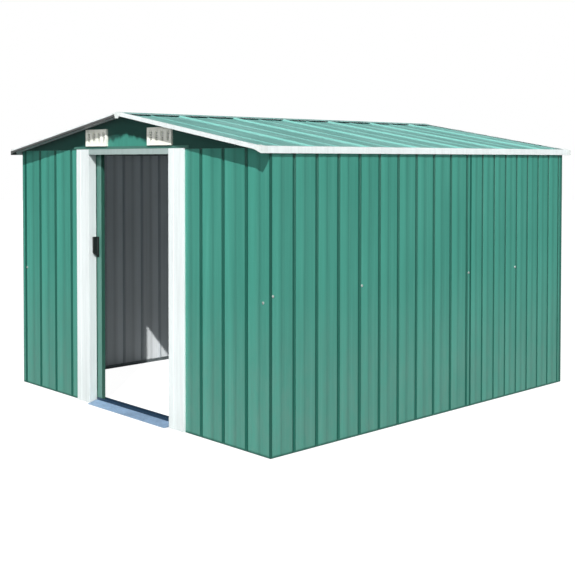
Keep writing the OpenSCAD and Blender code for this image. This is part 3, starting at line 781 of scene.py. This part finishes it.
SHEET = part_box("gable_front")[1].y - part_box("gable_front")[0].y
RIB_BEND = 1.5 * MM
TRIM_BEND = 1.0 * MM
TRIM_SHEET = 1.2 * MM
ROOF_BEND = 2.0 * MM
slope_right = Vector((math.cos(roof_tilt), 0, -math.sin(roof_tilt)))
slope_left = Vector((-math.cos(roof_tilt), 0, -math.sin(roof_tilt)))
RIB_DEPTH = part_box("right_wall_front")[1].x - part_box("right_wall_front")[0].x - SHEET
RIB_HALF = 12 * MM
ROOF_SHEET = 0.8 * MM
ROOF_RIB_HALF = 20 * MM


def formed(node, body, material, along, bend=RIB_BEND, sheet=SHEET):
    """A CAD sheet with its folds rounded; the cut edges stay as they are."""
    piece = copy_of(node)
    round_folds(piece, along, bend, sheet)
    smooth(piece)
    return finish_piece(piece, body, material)


def ribbed(node, body, slot, material, across, height_of):
    piece = formed(node, body, material, Z)
    write_rib_map(piece, across, height_of, RIB_DEPTH, RIB_HALF)
    return piece


def wall(node, material, across, height_of):
    ribbed(node, "shed", "wall_sheet", material, across, height_of)


def folded(node, body, material, along):
    """A thicker sheet piece with small folds: a trim, cap, sill or door frame."""
    formed(node, body, material, along, TRIM_BEND, TRIM_SHEET)


for side, turn in (("left", -1), ("right", 1)):
    for part in ("front", "middle", "rear"):
        wall(f"{side}_wall_{part}", side_paint, turn * Y, lambda place: wall_right - abs(place.x))
for name in ("front_wall_left", "front_wall_right"):
    wall(name, end_paint, X, lambda place: place.y - wall_front)
for name in ("rear_wall_left", "rear_wall_middle", "rear_wall_right"):
    wall(name, end_paint, -X, lambda place: wall_rear - place.y)
formed("gable_front", "shed", gable_paint, Z)

door_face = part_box("door_left_panel")[0].y
for door in ("door_left", "door_right"):
    ribbed(f"{door}_panel", door, "door_sheet", door_paint, X, lambda place: place.y - door_face)
    folded(f"{door}_frame", door, door_paint, Z)

roof_normal = Vector((math.sin(roof_tilt), 0, math.cos(roof_tilt)))
for side, turn, slope in (("left", -1, slope_left), ("right", 1, slope_right)):
    square = Vector((turn * roof_normal.x, 0, roof_normal.z))
    for part in ("front", "rear"):
        piece = formed(f"roof_{side}_{part}", "shed", roof_paint, slope, ROOF_BEND)
        heights = [vert.co.dot(square) for vert in piece.data.vertices]
        pan = min(heights) + ROOF_SHEET
        rise = max(heights) - pan
        write_rib_map(
            piece, turn * Y, lambda place: max(place.dot(square) - pan, 0.0), rise, ROOF_RIB_HALF
        )
folded("ridge_cap", "shed", roof_paint, Y)


# ---- white trims ----

CAP_ROUND = 0.7 * MM

for side in ("left", "right"):
    folded(f"door_jamb_{side}", "shed", trim_white, Z)
    folded(f"eave_trim_{side}", "shed", rake_white, Y)
folded("door_header", "shed", header_white, X)
for end in ("front", "rear"):
    trims = copy_of(f"rake_trims_{end}")
    round_folds(trims, slope_left, TRIM_BEND, TRIM_SHEET)
    round_folds(trims, slope_right, TRIM_BEND, TRIM_SHEET)
    smooth(trims)
    finish_piece(trims, "shed", rake_white)
caps = copy_of("roof_caps")
round_corners(caps, CAP_ROUND)
smooth(caps)
finish_piece(caps, "shed", cap_white)


# ---- frame pieces that keep their CAD shape ----


def coat(node, material):
    nodes[node].data.materials.clear()
    nodes[node].data.materials.append(material)


bare_frame = ["base_rail_left", "base_rail_right", "base_rail_rear", "base_rails_front"]
bare_frame += ["corner_posts", "door_track", "ridge_beam", "roof_purlins"]
for name in bare_frame:
    coat(name, frame_zinc)
coat("top_rails", rail_paint)
coat("door_left_glides", glide_nylon)
coat("door_right_glides", glide_nylon)


# ---- screws with washers ----

WASHER_R, WASHER_T = 8 * MM, 1.2 * MM
WASHER_EDGE, WASHER_DOME = 1.2 * MM, 0.6 * MM
SCREW_R, SCREW_H = 5 * MM, 3.2 * MM
SCREW_ROUND = 0.8 * MM


def make_screw():
    """Hexagon-headed screw on its round washer, standing on Z = 0."""
    bpy.ops.mesh.primitive_cylinder_add(
        vertices=24, radius=WASHER_R, depth=WASHER_T, location=(0, 0, WASHER_T / 2)
    )
    washer = bpy.context.active_object
    settle(washer)
    edit(washer, "FACE")
    select_where(washer, "faces", lambda face: face.normal.z > 0.9)
    bpy.ops.mesh.inset(thickness=WASHER_EDGE)
    bpy.ops.transform.translate(value=(0, 0, WASHER_DOME))
    leave()
    bpy.ops.mesh.primitive_cylinder_add(
        vertices=6, radius=SCREW_R, depth=SCREW_H, location=(0, 0, WASHER_T + SCREW_H / 2)
    )
    head = bpy.context.active_object
    settle(head)
    edit(head)
    near_top = WASHER_T + 0.9 * SCREW_H
    select_where(head, "edges", lambda edge: all(vert.co.z > near_top for vert in edge.verts))
    bpy.ops.mesh.bevel(offset=SCREW_ROUND, segments=2, affect="EDGES")
    leave()
    screw = joined([washer, head], "screw_pattern")
    work_on(screw)
    bpy.ops.object.shade_smooth_by_angle(angle=FITTING_SMOOTH)
    return screw


def set_screws(pattern, spots, outward, name):
    """Copies of the pattern, each standing on its spot and pointing outward, joined as one piece."""
    copies = []
    for spot in spots:
        screw = own_copy(pattern)
        screw.rotation_mode = "QUATERNION"
        screw.rotation_quaternion = outward.to_track_quat("Z", "Y")
        screw.location = spot
        settle(screw)
        copies.append(screw)
    return finish_piece(joined(copies, name), "shed", screw_zinc)


SCREW_Z = 830 * MM
FRONT_SCREW_Z = 793 * MM
SEAM_TO_SCREW = 8 * MM
SIDE_FIRST_IN = 17 * MM
SIDE_LAST_IN = 509 * MM
END_SCREW_IN = 56 * MM

side_rows = [wall_front + SIDE_FIRST_IN, seam_front + SEAM_TO_SCREW]
side_rows += [seam_rear + SEAM_TO_SCREW, seam_rear + SIDE_LAST_IN]
corner_x = wall_right - END_SCREW_IN
seam_x = rear_seam + SEAM_TO_SCREW
screw_pattern = make_screw()
for side, turn in (("left", -1), ("right", 1)):
    spots = [Vector((turn * wall_right, y, SCREW_Z)) for y in side_rows]
    set_screws(screw_pattern, spots, turn * X, f"{side}_wall_screws")
spots = [Vector((x, wall_front, FRONT_SCREW_Z)) for x in (-corner_x, corner_x)]
set_screws(screw_pattern, spots, -Y, "front_wall_screws")
spots = [Vector((x, wall_rear, SCREW_Z)) for x in (-corner_x, -seam_x, seam_x, corner_x)]
set_screws(screw_pattern, spots, Y, "rear_wall_screws")
bpy.data.objects.remove(screw_pattern)


# ---- vents ----

VENT_CORNER = 1.2 * MM
LOUVRES = 6
LOUVRE_T = 1.4 * MM
LOUVRE_TILT = math.radians(38)
VENT_RIM = 5 * MM
VENT_RIM_RISE = 1.6 * MM
VENT_RIM_ROUND = 0.6 * MM
LOUVRE_SEAT = 0.4 * MM


def vent_lines():
    """Upright and level lines of the right-hand vent plate: its outline and its slots."""
    spots = [vert.co for vert in nodes["vents_front"].data.vertices if vert.co.x > 0]
    return sorted({round(spot.x, 5) for spot in spots}), sorted({round(spot.z, 5) for spot in spots})


def make_louvre(width, depth):
    bpy.ops.mesh.primitive_cube_add(size=1)
    blade = bpy.context.active_object
    blade.scale = (width, depth, LOUVRE_T)
    settle(blade)
    edit(blade)
    select_where(blade, "edges", lambda edge: run_along_x(edge) > 0.5 * width)
    bpy.ops.mesh.bevel(offset=0.45 * LOUVRE_T, segments=2, affect="EDGES")
    leave()
    blade.rotation_euler = (LOUVRE_TILT, 0, 0)
    settle(blade)
    return blade


def make_vent_rim(xs, zs, face):
    """Raised rim around the edge of a vent plate."""
    middle = ((xs[0] + xs[-1]) / 2, face, (zs[0] + zs[-1]) / 2)
    bpy.ops.mesh.primitive_plane_add(size=1, location=middle, rotation=(math.pi / 2, 0, 0))
    rim = bpy.context.active_object
    rim.scale = (xs[-1] - xs[0], zs[-1] - zs[0], 1)
    settle(rim)
    edit(rim, "FACE")
    bpy.ops.mesh.select_all(action="SELECT")
    bpy.ops.mesh.inset(thickness=VENT_RIM)
    bpy.ops.mesh.delete(type="FACE")
    leave()
    work_on(rim)
    wall = rim.modifiers.new("thickness", "SOLIDIFY")
    wall.thickness = VENT_RIM_RISE
    wall.offset = 1
    bpy.ops.object.modifier_apply(modifier=wall.name)
    round_corners(rim, VENT_RIM_ROUND)
    return rim


def make_vent_fittings():
    """Louvres in the slots of the right-hand vent, and its rim."""
    xs, zs = vent_lines()
    face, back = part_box("vents_front")[0].y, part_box("vents_front")[1].y
    slots = list(zip(xs[1:-1:2], xs[2:-1:2]))
    low, high = zs[1], zs[2]
    step = (high - low) / LOUVRES
    pattern = make_louvre(slots[0][1] - slots[0][0] + LOUVRE_SEAT, 0.8 * (back - face))
    blades = []
    for left, right in slots:
        for row in range(LOUVRES):
            blade = own_copy(pattern)
            blade.location = ((left + right) / 2, (face + back) / 2, low + (row + 0.5) * step)
            settle(blade)
            blades.append(blade)
    bpy.data.objects.remove(pattern)
    fittings = joined(blades + [make_vent_rim(xs, zs, face)], "vent_fittings")
    work_on(fittings)
    bpy.ops.object.shade_smooth_by_angle(angle=FITTING_SMOOTH)
    return fittings


fittings = make_vent_fittings()
for end, mirrored in (("front", False), ("rear", True)):
    plates = copy_of(f"vents_{end}", f"vents_{end}_plates")
    round_corners(plates, VENT_CORNER)
    smooth(plates)
    finish_piece(plates, "shed", vent_ivory)
    for side in ("left", "right"):
        made = twin(fittings, f"vent_{end}_{side}_louvres", mirror_x=side == "left", mirror_y=mirrored)
        finish_piece(made, "shed", vent_ivory)
bpy.data.objects.remove(fittings)


# ---- door handles ----

GRIP_INSET = 5 * MM
GRIP_HOLLOW = 2 * MM
GRIP_CORNER = 2.2 * MM


def make_handle(side):
    """The upright pull with a shallow finger hollow on each side and its corners rounded."""
    pull = copy_of(f"door_{side}_handle", f"door_{side}_pull")
    widest = max(face.area for face in pull.data.polygons if abs(face.normal.x) > 0.99)
    edit(pull, "FACE")
    select_where(pull, "faces", lambda face: abs(face.normal.x) > 0.99 and face.calc_area() > 0.8 * widest)
    bpy.ops.mesh.inset(thickness=GRIP_INSET)
    bpy.ops.mesh.inset(thickness=GRIP_HOLLOW, depth=-GRIP_HOLLOW)
    leave()
    edit(pull)
    outer = min(vert.co.y for vert in pull.data.vertices)
    select_where(
        pull,
        "edges",
        lambda edge: len(edge.link_faces) == 2
        and edge.calc_face_angle(0) > math.radians(30)
        and min(vert.co.y for vert in edge.verts) < outer + MM,
    )
    bpy.ops.mesh.bevel(offset=GRIP_CORNER, segments=3, affect="EDGES")
    leave()
    smooth(pull)
    return finish_piece(pull, f"door_{side}", handle_black)


for side in ("left", "right"):
    make_handle(side)


# ---- sill ----

TREADS = 3
TREAD_W, TREAD_H = 4 * MM, 1.4 * MM
TREAD_ROUND = 0.5 * MM
TREAD_END = 14 * MM


def make_treads():
    """Low ribs along the sill's ramp that keep feet from slipping."""
    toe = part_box("door_sill")[0].y
    ramp = [vert.co for vert in nodes["door_sill"].data.vertices if vert.co.y < ramp_back - 0.5 * MM]
    top = max(ramp, key=lambda place: place.z)
    toe_z = max(place.z for place in ramp if place.y < toe + MM)
    slope = math.atan2(top.z - toe_z, top.y - toe)
    half = max(place.x for place in ramp) - TREAD_END
    treads = []
    for row in range(1, TREADS + 1):
        share = row / (TREADS + 1)
        bpy.ops.mesh.primitive_cube_add(size=1)
        tread = bpy.context.active_object
        tread.scale = (2 * half, TREAD_W, TREAD_H)
        settle(tread)
        edit(tread)
        select_where(tread, "edges", lambda edge: run_along_x(edge) > half)
        bpy.ops.mesh.bevel(offset=TREAD_ROUND, segments=2, affect="EDGES")
        leave()
        tread.rotation_euler = (slope, 0, 0)
        tread.location = (0, toe + share * (top.y - toe), toe_z + share * (top.z - toe_z))
        settle(tread)
        treads.append(tread)
    work_on(treads[0])
    return finish_piece(joined(treads, "sill_treads"), "shed", sill_zinc)


folded("door_sill", "shed", sill_zinc, X)
make_treads()


# ---- floor, light and camera ----

FLOOR_SIZE = 60.0
FLOOR_DROP = 0.5 * MM
FLOOR_GREY = (0.14, 0.14, 0.14, 1)
FLOOR_SHOWN = 0.985
FLOOR_GLOW = 0.04
INNER_GLOW = 0.09
SKY_LIGHT = 0.04
# name: direction towards the light, strength, spread in degrees
LIGHTS = {
    "key": ((0.913, -1.0, 1.225), 4.2, 0.6),
    "side_fill": ((1.0, 0.1, 0.15), 1.0, 40.0),
    "front_fill": ((0.25, -1.0, 0.12), 1.6, 50.0),
    "back_fill": ((-0.7, 1.0, 0.16), 1.5, 60.0),
}
KEY_COLOUR = (1.0, 0.99, 0.97)
CAMERA_AT = (5.041, -4.902, 1.523)
CAMERA_PITCH = math.radians(90 - 1.56)
CAMERA_TURN = math.radians(47.61)
LENS, SENSOR = 64.2, 36.0
SHIFT_X, SHIFT_Y = 0.0478, -0.1726
FARTHEST = 200.0


def make_floor():
    """Pale studio floor; it also gives back some light to the inside of the shed."""
    bpy.ops.mesh.primitive_plane_add(size=FLOOR_SIZE, location=(0, 0, -FLOOR_DROP))
    floor = bpy.context.active_object
    floor.name = "pale_floor"
    made = bpy.data.materials.new("pale_floor")
    made.use_nodes = True
    tree = made.node_tree
    tree.nodes.clear()
    seen = add(tree, "LightPath").outputs["Is Camera Ray"]
    place = object_place(tree)
    part = add(tree, "SeparateXYZ", {0: place}).outputs
    within = maths(
        tree,
        "MULTIPLY",
        maths(tree, "LESS_THAN", maths(tree, "ABSOLUTE", part["X"]), wall_right),
        maths(tree, "LESS_THAN", maths(tree, "ABSOLUTE", part["Y"]), wall_rear),
    )
    mottle = spread(tree, noise(tree, place, 3.0), 0.3, 0.7, 0.99, 1.0)
    diffuse = add(tree, "BsdfDiffuse", {"Color": FLOOR_GREY}).outputs[0]
    glow = add(tree, "Emission", {"Color": grey_of(tree, mottle), "Strength": FLOOR_SHOWN}).outputs[0]
    given_back = maths(tree, "MULTIPLY_ADD", within, INNER_GLOW, FLOOR_GLOW)
    faint = add(tree, "Emission", {"Color": (0.93, 0.98, 1.0, 1), "Strength": given_back}).outputs[0]
    mixed = add(tree, "MixShader", {0: seen, 1: faint, 2: glow}).outputs[0]
    both = add(tree, "AddShader", {0: diffuse, 1: mixed}).outputs[0]
    sink = add(tree, "OutputMaterial")
    tree.links.new(both, sink.inputs["Surface"])
    floor.data.materials.append(made)


def add_sun(name, towards, strength, spread_angle):
    lamp = bpy.data.lights.new(name, "SUN")
    lamp.energy = strength
    lamp.angle = math.radians(spread_angle)
    sun = bpy.data.objects.new(name, lamp)
    sun.rotation_mode = "QUATERNION"
    sun.rotation_quaternion = Vector(towards).normalized().to_track_quat("Z", "Y")
    bpy.context.scene.collection.objects.link(sun)
    return sun


def make_light():
    world = bpy.data.worlds.new("studio")
    bpy.context.scene.world = world
    world.use_nodes = True
    tree = world.node_tree
    tree.nodes.clear()
    seen = add(tree, "LightPath").outputs["Is Camera Ray"]
    soft = add(tree, "Background", {"Color": (0.9, 0.97, 1.0, 1), "Strength": SKY_LIGHT}).outputs[0]
    white = add(tree, "Background", {"Color": (1, 1, 1, 1), "Strength": 1.0}).outputs[0]
    mixed = add(tree, "MixShader", {0: seen, 1: soft, 2: white}).outputs[0]
    sink = add(tree, "OutputWorld")
    tree.links.new(mixed, sink.inputs["Surface"])
    suns = {name: add_sun(name, *values) for name, values in LIGHTS.items()}
    suns["key"].data.color = KEY_COLOUR
    suns["back_fill"].visible_glossy = False


def make_camera():
    data = bpy.data.cameras.new("camera")
    data.sensor_width = SENSOR
    data.lens = LENS
    data.shift_x = SHIFT_X
    data.shift_y = SHIFT_Y
    data.clip_end = FARTHEST
    camera = bpy.data.objects.new("camera", data)
    camera.location = CAMERA_AT
    camera.rotation_euler = (CAMERA_PITCH, 0, CAMERA_TURN)
    bpy.context.scene.collection.objects.link(camera)
    bpy.context.scene.camera = camera


make_floor()
make_light()
make_camera()
bpy.context.scene.view_settings.view_transform = "Standard"
